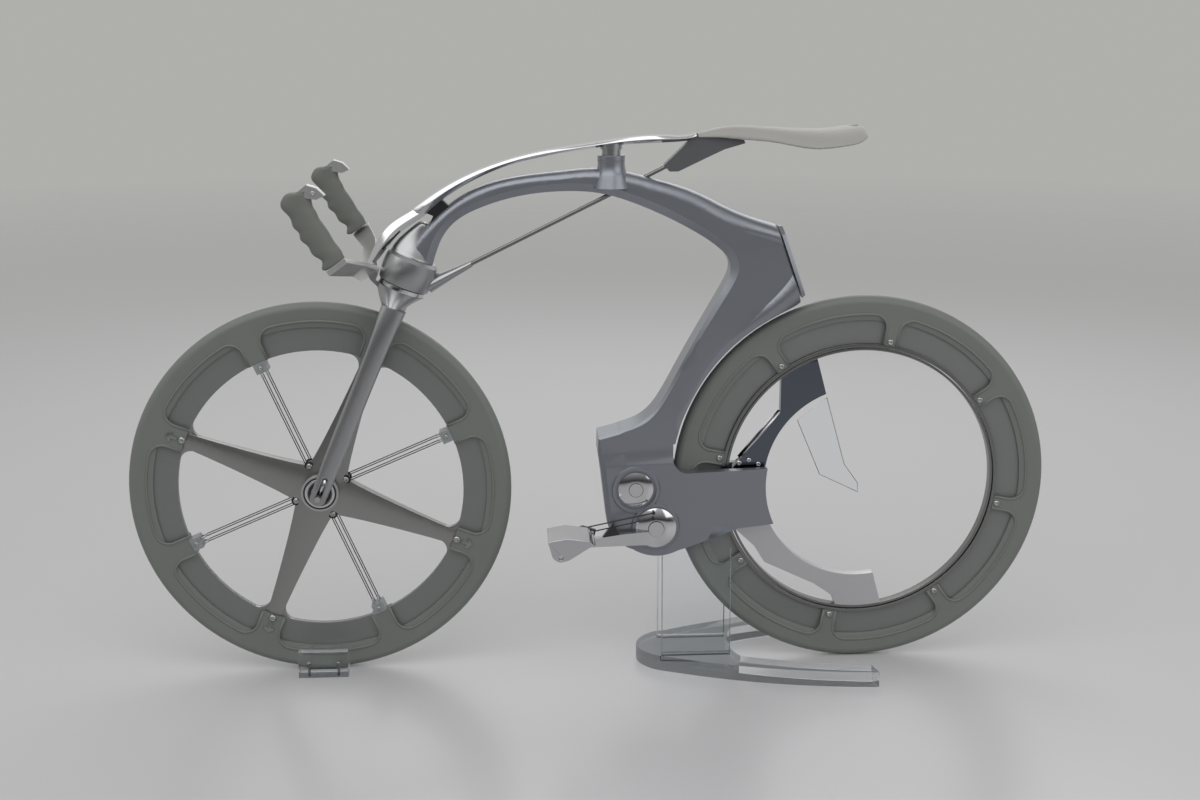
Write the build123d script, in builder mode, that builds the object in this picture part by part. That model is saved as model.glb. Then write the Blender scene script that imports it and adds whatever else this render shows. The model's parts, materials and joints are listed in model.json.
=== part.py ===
"""Show bicycle with an arched frame, a bladed front wheel and a hubless rear wheel, on a clear stand.

The frame's origin lies on the floor, midway between the wheels. The front is towards -X and the left side
towards -Y, so +Z is up. All sizes are in millimetres.
"""
import os
from math import cos, radians, sin, sqrt

from build123d import *

os.makedirs("parts", exist_ok=True)

# ---------------------------------------------------------------- driving dimensions
wheel_radius = 335.0
wheelbase = 958.0
steering_tilt = 23.0          # degrees between the steering axis and the vertical
lobe_count = 8

tyre_half_width = 13.0
band_half_width = 12.0
band_inner_radius = 303.0     # where the moulded band starts to bevel down to the mesh rim
bevel_inner_radius = 292.0
bevel_half_width = 8.5
rim_inner_radius = 250.0
rim_half_width = 5.0
rim_seat_radius = 312.0       # how deep the mesh rim sits in the band
front_phase = 68.0            # angle of the first spider blade
rear_phase = 34.5

axle_radius = 5.5
axle_shaft_half_length = 63.0
axle_neck_radius = 4.5
axle_neck_half_length = 64.0
axle_peg_radius = 5.0
axle_half_length = 70.0
running_gap = 0.05            # radial clearance of a shaft in its bore
hub_radius = 26.0
hub_ring_radius = 33.0
hub_nose_radius = 14.0
hub_half_length = 45.0

race_inner_radius = 244.0
race_half_width = 11.0
bearing_outer_radius = 242.5
bearing_inner_radius = 238.0
upper_window_radius = 172.0   # inner arcs of the two blades that carry the rear wheel
lower_window_radius = 178.0
carrier_half_width = 9.0

ring_height = 386.0           # along the steering axis, from the front axle
ring_radius = 40.8
shell_base_height = 395.5
shell_top_height = 446.0
shell_radius = 47.0
shear_height = 521.0          # where the stem passes under the beam's end
shear_gap = 2.0
steerer_radius = 15.0
steerer_length = 40.0

crank_centre = (110.0, 266.0)
gear_centre = (75.0, 334.0)
crank_length = 172.5
crank_axle_radius = 12.0
crank_drop = 6.0              # degrees that the parked left crank points below the horizontal
cheek_half_width = 41.0
boss_half_width = 45.0
gear_floor_half_width = 38.0  # how deep the recess round the gear cap goes
leg_half_width = 36.0
arm_inner_gap = 20.0          # half the space between the two rear arms
tyre_gap = 9.0

grip_offset = 212.0
grip_half_width = 14.0
blade_offset = 56.0

front_x = -wheelbase / 2
rear_x = wheelbase / 2
tilt = radians(steering_tilt)
through = 200.0               # half depth of a cut that goes right through


# ---------------------------------------------------------------- shared planes and shapes
def save(piece, name):
    """Label a finished piece and write it as its own STEP file."""
    piece.part.label = name
    export_step(piece.part, f"parts/{name}.step")


def side_plane(y=0.0):
    """Plane of the side view at the given Y: its own x is X and its own y is Z."""
    return Plane.XZ.offset(-y)


def wheel_plane(centre_x, y=0.0):
    """Side-view plane centred on a wheel."""
    return Plane(origin=(centre_x, y, wheel_radius), x_dir=(1, 0, 0), z_dir=(0, -1, 0))


def wheel_section(centre_x):
    """Plane through a wheel's axle: x is the radius and y is the axle's direction."""
    return Plane(origin=(centre_x, 0, wheel_radius), x_dir=(1, 0, 0), z_dir=(0, 0, 1))


def wheel_axis(centre_x):
    return Axis((centre_x, 0, wheel_radius), (0, 1, 0))


def steering_plane(height, y=0.0):
    """Plane square to the steering axis, at a height measured along it from the front axle."""
    origin = (front_x + height * sin(tilt), y, wheel_radius + height * cos(tilt))
    return Plane(origin=origin, x_dir=(cos(tilt), 0, -sin(tilt)), z_dir=(sin(tilt), 0, cos(tilt)))


def steering_section(y=0.0):
    """Plane that holds the steering axis: x is the distance behind it and y the height along it."""
    return Plane(origin=(front_x, y, wheel_radius), x_dir=(cos(tilt), 0, -sin(tilt)), z_dir=(0, -1, 0))


steering_axis = Axis((front_x, 0, wheel_radius), (sin(tilt), 0, cos(tilt)))


def rib_plane(inner, outer):
    """Section plane of a curved rib: its x runs from the inner to the outer edge and its y across.

    Also gives the distance between the two edges.
    """
    start = Vector(inner[0], 0, inner[1])
    along = Vector(outer[0], 0, outer[1]) - start
    return Plane(origin=start, x_dir=along, z_dir=along.cross(Vector(0, 1, 0))), along.length


def polygon(points):
    """Add a closed straight-sided outline to the sketch being built."""
    Polygon(*points, align=None)


def mirrored_polygon(points):
    """Add a closed outline that is given on one side of its x axis only."""
    Polygon(*[(x, -y) for x, y in points], *reversed(points), align=None)


def ring_profile(inner, outer, half_width):
    """Rectangular cross-section of a ring about a wheel's axle."""
    with Locations(((inner + outer) / 2, 0)):
        Rectangle(outer - inner, 2 * half_width)


def polar(radius, angle):
    return (radius * cos(radians(angle)), radius * sin(radians(angle)))


# ---------------------------------------------------------------- wheels
def pocket_face(first_half_width, second_half_width, corner_radius):
    """One rounded recess between two neighbouring lobes of the moulded band."""
    pitch = 360 / lobe_count
    inner_reach = rim_inner_radius - 10

    def lobe_side(radius, angle, half_width, side):
        along = sqrt(radius**2 - half_width**2)
        turn = radians(angle)
        return (
            along * cos(turn) - side * half_width * sin(turn),
            along * sin(turn) + side * half_width * cos(turn),
        )

    with BuildSketch() as pocket:
        with BuildLine():
            start = lobe_side(band_inner_radius, 0, first_half_width, 1)
            end = lobe_side(band_inner_radius, pitch, second_half_width, -1)
            inner_start = lobe_side(inner_reach, 0, first_half_width, 1)
            inner_end = lobe_side(inner_reach, pitch, second_half_width, -1)
            Line(inner_start, start)
            ThreePointArc(start, polar(band_inner_radius, pitch / 2), end)
            Line(end, inner_end)
            Line(inner_end, inner_start)
        make_face()
        outer_corners = pocket.vertices().sort_by_distance((0, 0))[-2:]
        fillet(outer_corners, corner_radius)
    return pocket.sketch


def moulded_tyre(centre_x, phase, even_half_width, odd_half_width):
    """Tyre and band in one moulding, with lobes that reach in over both faces of the mesh rim."""
    corner_radius = 24.0
    even_pocket = pocket_face(even_half_width, odd_half_width, corner_radius)
    odd_pocket = pocket_face(odd_half_width, even_half_width, corner_radius)
    pitch = 360 / lobe_count
    with BuildPart() as tyre:
        with BuildSketch(wheel_section(centre_x)):
            with BuildLine():
                shoulder = wheel_radius - tyre_half_width
                ThreePointArc((shoulder, -tyre_half_width), (wheel_radius, 0), (shoulder, tyre_half_width))
                Polyline(
                    (shoulder, tyre_half_width),
                    (band_inner_radius, band_half_width),
                    (bevel_inner_radius, bevel_half_width),
                    (bevel_inner_radius, -bevel_half_width),
                    (band_inner_radius, -band_half_width),
                    (shoulder, -tyre_half_width),
                )
            make_face()
        revolve(axis=wheel_axis(centre_x))
        with BuildSketch(wheel_plane(centre_x)):
            Circle(band_inner_radius + 2)
            Circle(rim_inner_radius, mode=Mode.SUBTRACT)
            with PolarLocations(0, lobe_count // 2, start_angle=phase):
                add(even_pocket, mode=Mode.SUBTRACT)
            with PolarLocations(0, lobe_count // 2, start_angle=phase + pitch):
                add(odd_pocket, mode=Mode.SUBTRACT)
        extrude(amount=band_half_width, both=True)
        with BuildSketch(wheel_section(centre_x)):
            ring_profile(rim_inner_radius - 10, rim_seat_radius, rim_half_width)
        revolve(axis=wheel_axis(centre_x), mode=Mode.SUBTRACT)
    return tyre


def mesh_rim(centre_x):
    """Thin flat ring of mesh-faced board that shows between the lobes."""
    with BuildPart() as rim:
        with BuildSketch(wheel_section(centre_x)):
            ring_profile(rim_inner_radius, rim_seat_radius, rim_half_width)
        revolve(axis=wheel_axis(centre_x))
    return rim


blade_angles = [front_phase + 90 * n for n in range(4)]
wire_angles = [front_phase + 45 + 90 * n for n in range(4)]
blade_tip_radius = 265.0
# distance from the axle, half width, half thickness at the edge and at the crown
blade_stations = [(10, 56, 6, 15), (150, 34, 4, 10), (275, 22, 3, 6.5)]
blade_edge = [(10, 40), (60, 30.5), (100, 25.5), (150, 20.5), (210, 15.5), (blade_tip_radius, 12.5)]

with BuildPart() as lens_blade:
    for radius, half_width, edge, crown in blade_stations:
        with BuildSketch(Plane(origin=(radius, 0, 0), x_dir=(0, 1, 0), z_dir=(1, 0, 0))):
            with BuildLine():
                ThreePointArc((edge, -half_width), (crown, 0), (edge, half_width))
                Line((edge, half_width), (-edge, half_width))
                ThreePointArc((-edge, half_width), (-crown, 0), (-edge, -half_width))
                Line((-edge, -half_width), (edge, -half_width))
            make_face()
    loft()

with BuildSketch() as blade_outline:
    with BuildLine():
        Spline(*blade_edge)
        Line(blade_edge[-1], (blade_tip_radius, -blade_edge[-1][1]))
        Spline(*[(x, -y) for x, y in reversed(blade_edge)])
        Line((blade_edge[0][0], -blade_edge[0][1]), blade_edge[0])
    make_face()

with BuildPart() as front_spider:
    with Locations(*[Location((front_x, 0, wheel_radius), (0, -angle, 0)) for angle in blade_angles]):
        add(lens_blade.part)
    with BuildSketch(wheel_plane(front_x)) as star:
        with PolarLocations(0, 4, start_angle=front_phase):
            add(blade_outline.sketch)
        hub_point = Vector(front_x, 0, wheel_radius)
        fillet(star.vertices().filter_by(lambda v: (v.center() - hub_point).length < 80), 24)
        Circle(hub_radius, mode=Mode.SUBTRACT)
    extrude(amount=20, both=True, mode=Mode.INTERSECT)
save(front_spider, "front_spider")

blade_lobe_half_width = 20.0
wire_lobe_half_width = 17.0
plain_front_tyre = moulded_tyre(front_x, front_phase, blade_lobe_half_width, wire_lobe_half_width)
with BuildPart() as front_tyre:
    add(plain_front_tyre.part)
    add(front_spider.part, mode=Mode.SUBTRACT)
save(front_tyre, "front_tyre")
plain_front_rim = mesh_rim(front_x)
with BuildPart() as front_rim:
    add(plain_front_rim.part)
    add(front_spider.part, mode=Mode.SUBTRACT)
save(front_rim, "front_rim")

ring_inner_face = 18.0
ring_outer_face = 32.0
with BuildPart() as front_hub:
    with BuildSketch(wheel_section(front_x)):
        bore = axle_radius + running_gap
        polygon([
            (bore, -hub_half_length), (hub_nose_radius, -hub_half_length),
            (hub_nose_radius, -ring_outer_face), (hub_ring_radius, -ring_outer_face),
            (hub_ring_radius, -ring_inner_face), (hub_radius, -ring_inner_face),
            (hub_radius, ring_inner_face), (hub_ring_radius, ring_inner_face),
            (hub_ring_radius, ring_outer_face), (hub_nose_radius, ring_outer_face),
            (hub_nose_radius, hub_half_length), (bore, hub_half_length),
        ])
    revolve(axis=wheel_axis(front_x))
save(front_hub, "front_hub")

# wires between the spider's web and the lobes that carry no blade, two to each face
wire_radius = 0.9
wire_hub_radius = 52.0
clip_radii = (232.0, rim_inner_radius)
clip_half_width = 11.0
wire_spread = 5.0
wire_half_gap = 8.0

with BuildPart() as front_spokes:
    for angle in wire_angles:
        direction = Vector(cos(radians(angle)), 0, sin(radians(angle)))
        across = Vector(-sin(radians(angle)), 0, cos(radians(angle)))
        for y in (-wire_half_gap, wire_half_gap):
            for offset in (-wire_spread, wire_spread):
                start = hub_point + direction * wire_hub_radius + across * offset + Vector(0, y, 0)
                with BuildSketch(Plane(origin=start, z_dir=direction)):
                    Circle(wire_radius)
                extrude(amount=clip_radii[0] - wire_hub_radius)
    add(front_spider.part, mode=Mode.SUBTRACT)
save(front_spokes, "front_spokes")

# clear blocks that grip the rim's inner edge and hold the wires
with BuildPart() as wire_clips:
    with BuildSketch(wheel_plane(front_x)):
        with PolarLocations(sum(clip_radii) / 2, 4, start_angle=wire_angles[0]):
            Rectangle(clip_radii[1] - clip_radii[0], 2 * clip_half_width)
        Circle(rim_inner_radius, mode=Mode.INTERSECT)
    extrude(amount=tyre_half_width + 1, both=True)
save(wire_clips, "wire_clips")

rear_lobe_half_width = 11.0
save(moulded_tyre(rear_x, rear_phase, rear_lobe_half_width, rear_lobe_half_width), "rear_tyre")
save(mesh_rim(rear_x), "rear_rim")

with BuildPart() as rear_race:
    with BuildSketch(wheel_section(rear_x)):
        ring_profile(race_inner_radius, rim_inner_radius, race_half_width)
    revolve(axis=wheel_axis(rear_x))
save(rear_race, "rear_race")

# ---------------------------------------------------------------- what carries the rear wheel
with BuildPart() as bearing_ring:
    with BuildSketch(wheel_section(rear_x)):
        ring_profile(bearing_inner_radius, bearing_outer_radius, carrier_half_width)
    revolve(axis=wheel_axis(rear_x))
save(bearing_ring, "bearing_ring")


def carrier(outline, foot, window_radius):
    """Blade from the rear arms to the bearing ring, with a foot that fills the space between the arms."""
    with BuildPart() as blade:
        with BuildSketch(side_plane()):
            polygon(outline)
        extrude(amount=carrier_half_width, both=True)
        with BuildSketch(side_plane()):
            polygon(foot)
        extrude(amount=arm_inner_gap, both=True)
        with BuildSketch(wheel_plane(rear_x)):
            Circle(bearing_inner_radius)
            Circle(window_radius, mode=Mode.SUBTRACT)
        extrude(amount=arm_inner_gap, both=True, mode=Mode.INTERSECT)
    return blade


carrier_upper = carrier(
    outline=[(236, 326), (245, 356), (334, 463), (334, 545), (388, 590), (399, 554), (419, 480), (330, 326)],
    foot=[(258, 352), (258, 312), (304, 312), (304, 352)],
    window_radius=upper_window_radius,
)
save(carrier_upper, "carrier_upper")
carrier_lower = carrier(
    outline=[
        (236, 326), (255, 250), (292, 215), (311, 184), (402, 141), (436, 118), (446, 90), (533, 78),
        (511, 158), (505, 170), (400, 250), (330, 326),
    ],
    foot=[(262, 306), (262, 270), (312, 270), (306, 306)],
    window_radius=lower_window_radius,
)
with BuildPart() as carrier_lower_fitted:
    add(carrier_lower.part)
    add(carrier_upper.part, mode=Mode.SUBTRACT)
save(carrier_lower_fitted, "carrier_lower")

with BuildPart() as clear_blade:
    with BuildSketch(side_plane()):
        polygon([(366, 446), (409, 345), (479, 311), (478, 328), (453, 363), (418, 486)])
    extrude(amount=3, both=True)
    add(carrier_upper.part, mode=Mode.SUBTRACT)
save(clear_blade, "clear_blade")

# ---------------------------------------------------------------- drive housing, rear arms and nose cover
seam_top = (46.0, 439.5)      # joint between the nose cover and the leg
seam_foot = (54.0, 405.0)
seam_rear = (141.0, 414.5)    # joint between the leg and the housing
nose_foot = (13.0, 371.0)
nose_foot_rear = (59.5, 371.0)


# what the leg's narrower width takes off both cheeks above the housing
shoulder_low = 380.0
shoulder_high = 396.0
with BuildPart() as shoulder_cutter:
    for side in (-1, 1):
        with BuildSketch(Plane.YZ.offset(-20)):
            polygon([
                (side * cheek_half_width, shoulder_low), (side * leg_half_width, shoulder_high),
                (side * leg_half_width, 480), (side * 60, 480), (side * 60, shoulder_low),
            ])
        extrude(amount=190)

# what the bevels of the two long front edges take off the nose and housing
ridge_half_width = 28.0
front_bevel_depth = 10.0
front_edge = Plane(origin=(8.5, 0, 400), x_dir=(0.993, 0, 0.115), z_dir=(-0.115, 0, 0.993))
with BuildPart() as front_bevel_cutter:
    for side in (-1, 1):
        with BuildSketch(front_edge.offset(-180)):
            polygon([
                (-20, side * ridge_half_width), (0, side * ridge_half_width),
                (front_bevel_depth, side * cheek_half_width), (front_bevel_depth, side * 60), (-20, side * 60),
            ])
        extrude(amount=260)

boss_radius = 44.0
with BuildPart() as drive_housing:
    with BuildSketch(side_plane()):
        with BuildLine():
            Polyline((176, 228), (258, 257), (322, 263), (322, 366), (168, 362))
            ThreePointArc((168, 362), (149, 369), (141, 390))
            Polyline((141, 390), seam_rear, seam_foot, nose_foot_rear, nose_foot, (24, 275))
            ThreePointArc((24, 275), (41, 242), (70, 224))
            ThreePointArc((70, 224), (112, 211), (150, 220))
            Line((150, 220), (176, 228))
        make_face()
    extrude(amount=cheek_half_width, both=True)
    add(front_bevel_cutter.part, mode=Mode.SUBTRACT)
    add(shoulder_cutter.part, mode=Mode.SUBTRACT)
    # the arms thin out towards their ends
    for side in (-1, 1):
        with BuildSketch(Plane.XY.offset(200)):
            polygon([(170, side * cheek_half_width), (325, side * 31), (325, side * 60), (170, side * 60)])
        extrude(amount=200, mode=Mode.SUBTRACT)
    # a raised figure-eight round the two discs
    for side in (-1, 1):
        for centre in (gear_centre, crank_centre):
            with BuildSketch(side_plane(side * (cheek_half_width - 2))):
                with Locations(centre):
                    Circle(boss_radius)
            extrude(amount=-side * (boss_half_width - cheek_half_width + 2), taper=25)
        with BuildSketch(side_plane(side * gear_floor_half_width)):
            with Locations(gear_centre):
                Circle(36)
        extrude(amount=-side * 12, mode=Mode.SUBTRACT)
    # the slot that the wheel runs in, open towards the rear, and the window's arc
    with BuildSketch(wheel_plane(rear_x)):
        Circle(wheel_radius + 8)
    extrude(amount=arm_inner_gap, both=True, mode=Mode.SUBTRACT)
    with BuildSketch(wheel_plane(rear_x)):
        Circle(upper_window_radius)
    extrude(amount=through, both=True, mode=Mode.SUBTRACT)
    with BuildSketch(side_plane()):
        with Locations(crank_centre):
            Circle(crank_axle_radius + running_gap)
    extrude(amount=through, both=True, mode=Mode.SUBTRACT)
save(drive_housing, "drive_housing")

top_edge_half_width = 31.0
top_edge_bevel = 5.0
with BuildPart() as nose_cover:
    with BuildSketch(side_plane()):
        polygon([(8.5, 400), (9.5, 430), (27, 434), seam_top, seam_foot, nose_foot_rear, nose_foot])
    extrude(amount=cheek_half_width, both=True)
    add(front_bevel_cutter.part, mode=Mode.SUBTRACT)
    add(shoulder_cutter.part, mode=Mode.SUBTRACT)
    # bevels that carry on those of the leg's upper edge
    for side in (-1, 1):
        with BuildSketch(Plane(origin=(27, 0, 434), x_dir=(-0.26, 0, 0.966), z_dir=(0.966, 0, 0.26)).offset(-40)):
            polygon([
                (-top_edge_bevel, side * leg_half_width), (0, side * top_edge_half_width),
                (20, side * top_edge_half_width), (20, side * 60), (-top_edge_bevel, side * 60),
            ])
        extrude(amount=80, mode=Mode.SUBTRACT)
    add(drive_housing.part, mode=Mode.SUBTRACT)
save(nose_cover, "nose_cover")


def domed_disc(centre, side, radius, button_radius, levels):
    """Disc that domes outwards to a round button.

    The levels are the distances of its back, rim, crown and button from the bicycle's middle plane.
    """
    back, rim, crown, button = [side * level for level in levels]
    with BuildPart() as disc:
        with BuildSketch(Plane(origin=(centre[0], 0, centre[1]))):
            with BuildLine():
                middle = ((radius + button_radius) / 2, rim + 0.68 * (crown - rim))
                Polyline((0, back), (radius, back), (radius, rim))
                ThreePointArc((radius, rim), middle, (button_radius, crown))
                Polyline((button_radius, crown), (button_radius, button), (0, button), (0, back))
            make_face()
        revolve(axis=Axis((centre[0], 0, centre[1]), (0, 1, 0)))
    return disc.part


with BuildPart() as gear_cap:
    for side in (-1, 1):
        add(domed_disc(gear_centre, side, 31, 12, (gear_floor_half_width, 40, 43.8, boss_half_width)))
save(gear_cap, "gear_cap")

# ---------------------------------------------------------------- head
strut_radius = 3.8
strut_start = Vector(-207, 0, 733)
strut_end = Vector(140, 0, 903)
strut_direction = (strut_end - strut_start).normalized()
strut_tail = 30.0             # how far the strut runs into its socket


def strut_plane(distance):
    """Plane square to the saddle strut, at a distance along it from its socket's mouth."""
    return Plane(origin=strut_start + strut_direction * distance, x_dir=(0, 1, 0), z_dir=strut_direction)


with BuildPart() as saddle_strut:
    with BuildSketch(strut_plane(-strut_tail)):
        Circle(strut_radius)
    extrude(amount=(strut_end - strut_start).length + strut_tail)
save(saddle_strut, "saddle_strut")

with BuildPart() as steerer_bore:
    with BuildSketch(steering_plane(shell_base_height)):
        Circle(steerer_radius + running_gap)
    extrude(amount=steerer_length)

# the shell turns about the steering axis, and its brow rises ahead of the spine
with BuildPart() as head_shell:
    with BuildSketch(steering_section()):
        with BuildLine():
            Line((0, shell_base_height), (shell_radius - 3, shell_base_height))
            ThreePointArc(
                (shell_radius - 3, shell_base_height),
                (shell_radius, shell_base_height + 24),
                (shell_radius - 2, shell_top_height - 5),
            )
            Polyline(
                (shell_radius - 2, shell_top_height - 5), (shell_radius - 8, shell_top_height),
                (0, shell_top_height), (0, shell_base_height),
            )
        make_face()
    revolve(axis=steering_axis)
    for height, setback, half_depth, half_width in ((432, 1, 44, 43), (450, 7, 32, 30), (466, 12, 16, 14)):
        with BuildSketch(steering_plane(height)):
            with Locations((-setback, 0)):
                Ellipse(half_depth, half_width)
    loft()
    add(steerer_bore.part, mode=Mode.SUBTRACT)
save(head_shell, "head_shell")

# tapered socket that the strut plugs into, growing out of the shell's rear wall
with BuildPart() as strut_socket:
    for distance, half_width, half_depth in ((-84, 22, 14), (-40, 13, 9), (0, 6.5, 5.5)):
        with BuildSketch(strut_plane(distance)):
            Ellipse(half_width, half_depth)
    loft()
    split(bisect_by=steering_plane(shell_base_height + 3), keep=Keep.TOP)
    with BuildSketch(steering_plane(shell_base_height - 10)):
        Circle(shell_radius - 9)
    extrude(amount=80, mode=Mode.SUBTRACT)
    add(head_shell.part, mode=Mode.SUBTRACT)
    add(saddle_strut.part, mode=Mode.SUBTRACT)
save(strut_socket, "strut_socket")

# ---------------------------------------------------------------- frame arch
# inner point, outer point, half width, half width of the inner face and depth of the bevel beside it,
# for each section from the head to the housing
arch_sections = [
    ((-273, 733), (-329, 738), 22, 11, 14),
    ((-258, 775), (-304, 777), 20, 10, 14),
    ((-235, 805), (-270, 813), 18, 9, 14),
    ((-195, 828), (-221, 851), 17, 8.5, 13),
    ((-120, 850), (-135, 881), 17, 8.5, 13),
    ((-50, 857), (-52, 891), 18, 9, 14),
    ((15, 853), (22, 895), 20, 10, 14),
    ((78, 834), (95, 880), 22, 11, 14),
    ((160, 796), (190, 849), 24, 12, 14),
    ((219, 758), (288, 806), 26, 13, 14),
    ((239, 722), (420, 745), 28, 17, 14),
    ((223, 682), (360, 655), 29, 22, 11),
    ((187, 617), (262, 583), 31, 27, 7),
    ((148, 545), (206, 514), 33, 30, 6),
    ((124, 500), (182, 466), 35, top_edge_half_width, top_edge_bevel),
    ((103, 470), (172, 436), leg_half_width, top_edge_half_width, top_edge_bevel),
    ((72, 448.5), (190, 370), leg_half_width, top_edge_half_width, top_edge_bevel),
    ((46, 439.5), (120, 350), leg_half_width, top_edge_half_width, top_edge_bevel),
    ((20, 432), (60, 340), leg_half_width, top_edge_half_width, top_edge_bevel),
]
boss_base_height = 862.0
boss_top_height = 908.0
post_x = 34.0
collar_radius = 23.5

tail_top = Vector(318, 0, 792)
tail_foot = Vector(361, 0, 668)
tail_gap = 4.0
tail_depth = 7.0
tail_length = (tail_foot - tail_top).length
tail_plane = Plane(
    origin=tail_top, x_dir=tail_foot - tail_top, z_dir=(tail_foot - tail_top).cross(Vector(0, 1, 0))
)

with BuildPart() as frame_arch:
    for inner, outer, half_width, lip, bevel_depth in arch_sections:
        plane, depth = rib_plane(inner, outer)
        with BuildSketch(plane):
            with BuildLine():
                crown = depth * 0.62
                Line((0, -lip), (0, lip))
                Line((0, lip), (bevel_depth, half_width))
                Line((bevel_depth, half_width), (crown, half_width))
                ThreePointArc((crown, half_width), (depth, 0), (crown, -half_width))
                Line((crown, -half_width), (bevel_depth, -half_width))
                Line((bevel_depth, -half_width), (0, -lip))
            make_face()
    loft()
    # the leg and the tail follow the rear tyre at an even distance
    with BuildSketch(wheel_plane(rear_x)):
        Circle(wheel_radius + tyre_gap)
    extrude(amount=through, both=True, mode=Mode.SUBTRACT)
    # everything ahead of the nose cover's seam belongs to the cover
    with BuildSketch(side_plane()):
        polygon([seam_foot, seam_top, (35, 487), (-40, 487), (-40, 320), (54, 320)])
        polygon([seam_foot, seam_rear, (200, 421), (200, 320), (54, 320)])
    extrude(amount=through, both=True, mode=Mode.SUBTRACT)
    split(bisect_by=tail_plane, keep=Keep.BOTTOM)
    # boss for the seat post, blended into the arch's back
    with BuildSketch(Plane.XZ):
        with BuildLine():
            Line((post_x, boss_base_height), (post_x + 35, boss_base_height))
            Line((post_x + 35, boss_base_height), (post_x + 28, 884))
            ThreePointArc((post_x + 28, 884), (post_x + 24, 895), (post_x + collar_radius, boss_top_height))
            Line((post_x + collar_radius, boss_top_height), (post_x, boss_top_height))
            Line((post_x, boss_top_height), (post_x, boss_base_height))
        make_face()
    revolve(axis=Axis((post_x, 0, 0), (0, 0, 1)))
    add(steerer_bore.part, mode=Mode.SUBTRACT)
    add(saddle_strut.part, mode=Mode.SUBTRACT)
    add(head_shell.part, mode=Mode.SUBTRACT)
    add(strut_socket.part, mode=Mode.SUBTRACT)
save(frame_arch, "frame_arch")

# end plate on a neck that sets it off the arch's tail
with BuildPart() as tail_panel:
    with BuildSketch(tail_plane):
        mirrored_polygon([(18, 6), (40, 14), (tail_length - 20, 17)])
    extrude(amount=tail_gap)
    with BuildSketch(tail_plane.offset(tail_gap)):
        mirrored_polygon([
            (-1, 12), (14, 24), (60, 27), (tail_length - 14, 28.5), (tail_length - 1, 24),
        ])
    extrude(amount=tail_depth, taper=20)
save(tail_panel, "tail_panel")

# polished spine between the shell's brow and the arch's nose
with BuildPart() as head_spine:
    with BuildSketch(steering_section()):
        polygon([(-27, 440), (-24, 452), (-21, 468), (-21, 488), (-12, 507), (14, 512), (24, 470), (10, 440)])
    extrude(amount=9, both=True)
    add(steerer_bore.part, mode=Mode.SUBTRACT)
    add(head_shell.part, mode=Mode.SUBTRACT)
    add(frame_arch.part, mode=Mode.SUBTRACT)
save(head_spine, "head_spine")

with BuildPart() as seat_collar:
    with BuildSketch(Plane.XY.offset(boss_top_height)):
        with Locations((post_x, 0)):
            Circle(collar_radius)
            Circle(16, mode=Mode.SUBTRACT)
    extrude(amount=9)
save(seat_collar, "seat_collar")

# ---------------------------------------------------------------- saddle and its beam
# lower point, upper point and half width of each section, from the head to the saddle's nose
beam_sections = [
    ((-300, 800), (-326, 812), 17),
    ((-282, 820), (-304, 828), 18),
    ((-253, 845), (-263, 857), 19),
    ((-190, 882), (-196, 892), 20),
    ((-125, 906), (-128, 915), 20),
    ((-53, 921), (-54, 930), 20),
    ((43, 934), (42, 944), 21),
    ((120, 938), (120, 950), 22),
    ((178, 944), (178, 954), 20),
]
with BuildPart() as saddle_beam:
    for lower, upper, half_width in beam_sections:
        plane, depth = rib_plane(lower, upper)
        with BuildSketch(plane):
            mirrored_polygon([(0, half_width * 0.55), (depth * 0.55, half_width), (depth, half_width * 0.8)])
    loft()
    split(bisect_by=steering_plane(shear_height + shear_gap), keep=Keep.TOP)
save(saddle_beam, "saddle_beam")

post_radius = 16.0
post_head_radius = 18.5
post_head_height = 927.0
with BuildPart() as seat_post:
    with BuildSketch(Plane.XY.offset(boss_top_height)):
        with Locations((post_x, 0)):
            Circle(post_radius)
    extrude(amount=post_head_height - boss_top_height)
    with BuildSketch(Plane.XY.offset(post_head_height)):
        with Locations((post_x, 0)):
            Circle(post_head_radius)
    extrude(amount=10)
    add(saddle_beam.part, mode=Mode.SUBTRACT)
save(seat_post, "seat_post")

# pivot block on the steering axis, between the arch's nose and the beam
with BuildPart() as pivot_block:
    with BuildSketch(steering_section()):
        polygon([(4, 507), (4, 525), (-16, 525), (-10, 540), (9.5, 556), (22, 551), (28, 530), (20, 507)])
    extrude(amount=10, both=True)
    add(head_spine.part, mode=Mode.SUBTRACT)
    add(frame_arch.part, mode=Mode.SUBTRACT)
    add(saddle_beam.part, mode=Mode.SUBTRACT)
save(pivot_block, "pivot_block")

with BuildPart() as saddle_keel:
    with BuildSketch(side_plane()):
        polygon([(176, 950), (257, 950), (262, 936), (227, 926), (203, 915), (148, 889), (133, 889), (124, 900)])
    extrude(amount=11, both=True)
    add(saddle_strut.part, mode=Mode.SUBTRACT)
    add(saddle_beam.part, mode=Mode.SUBTRACT)

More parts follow.
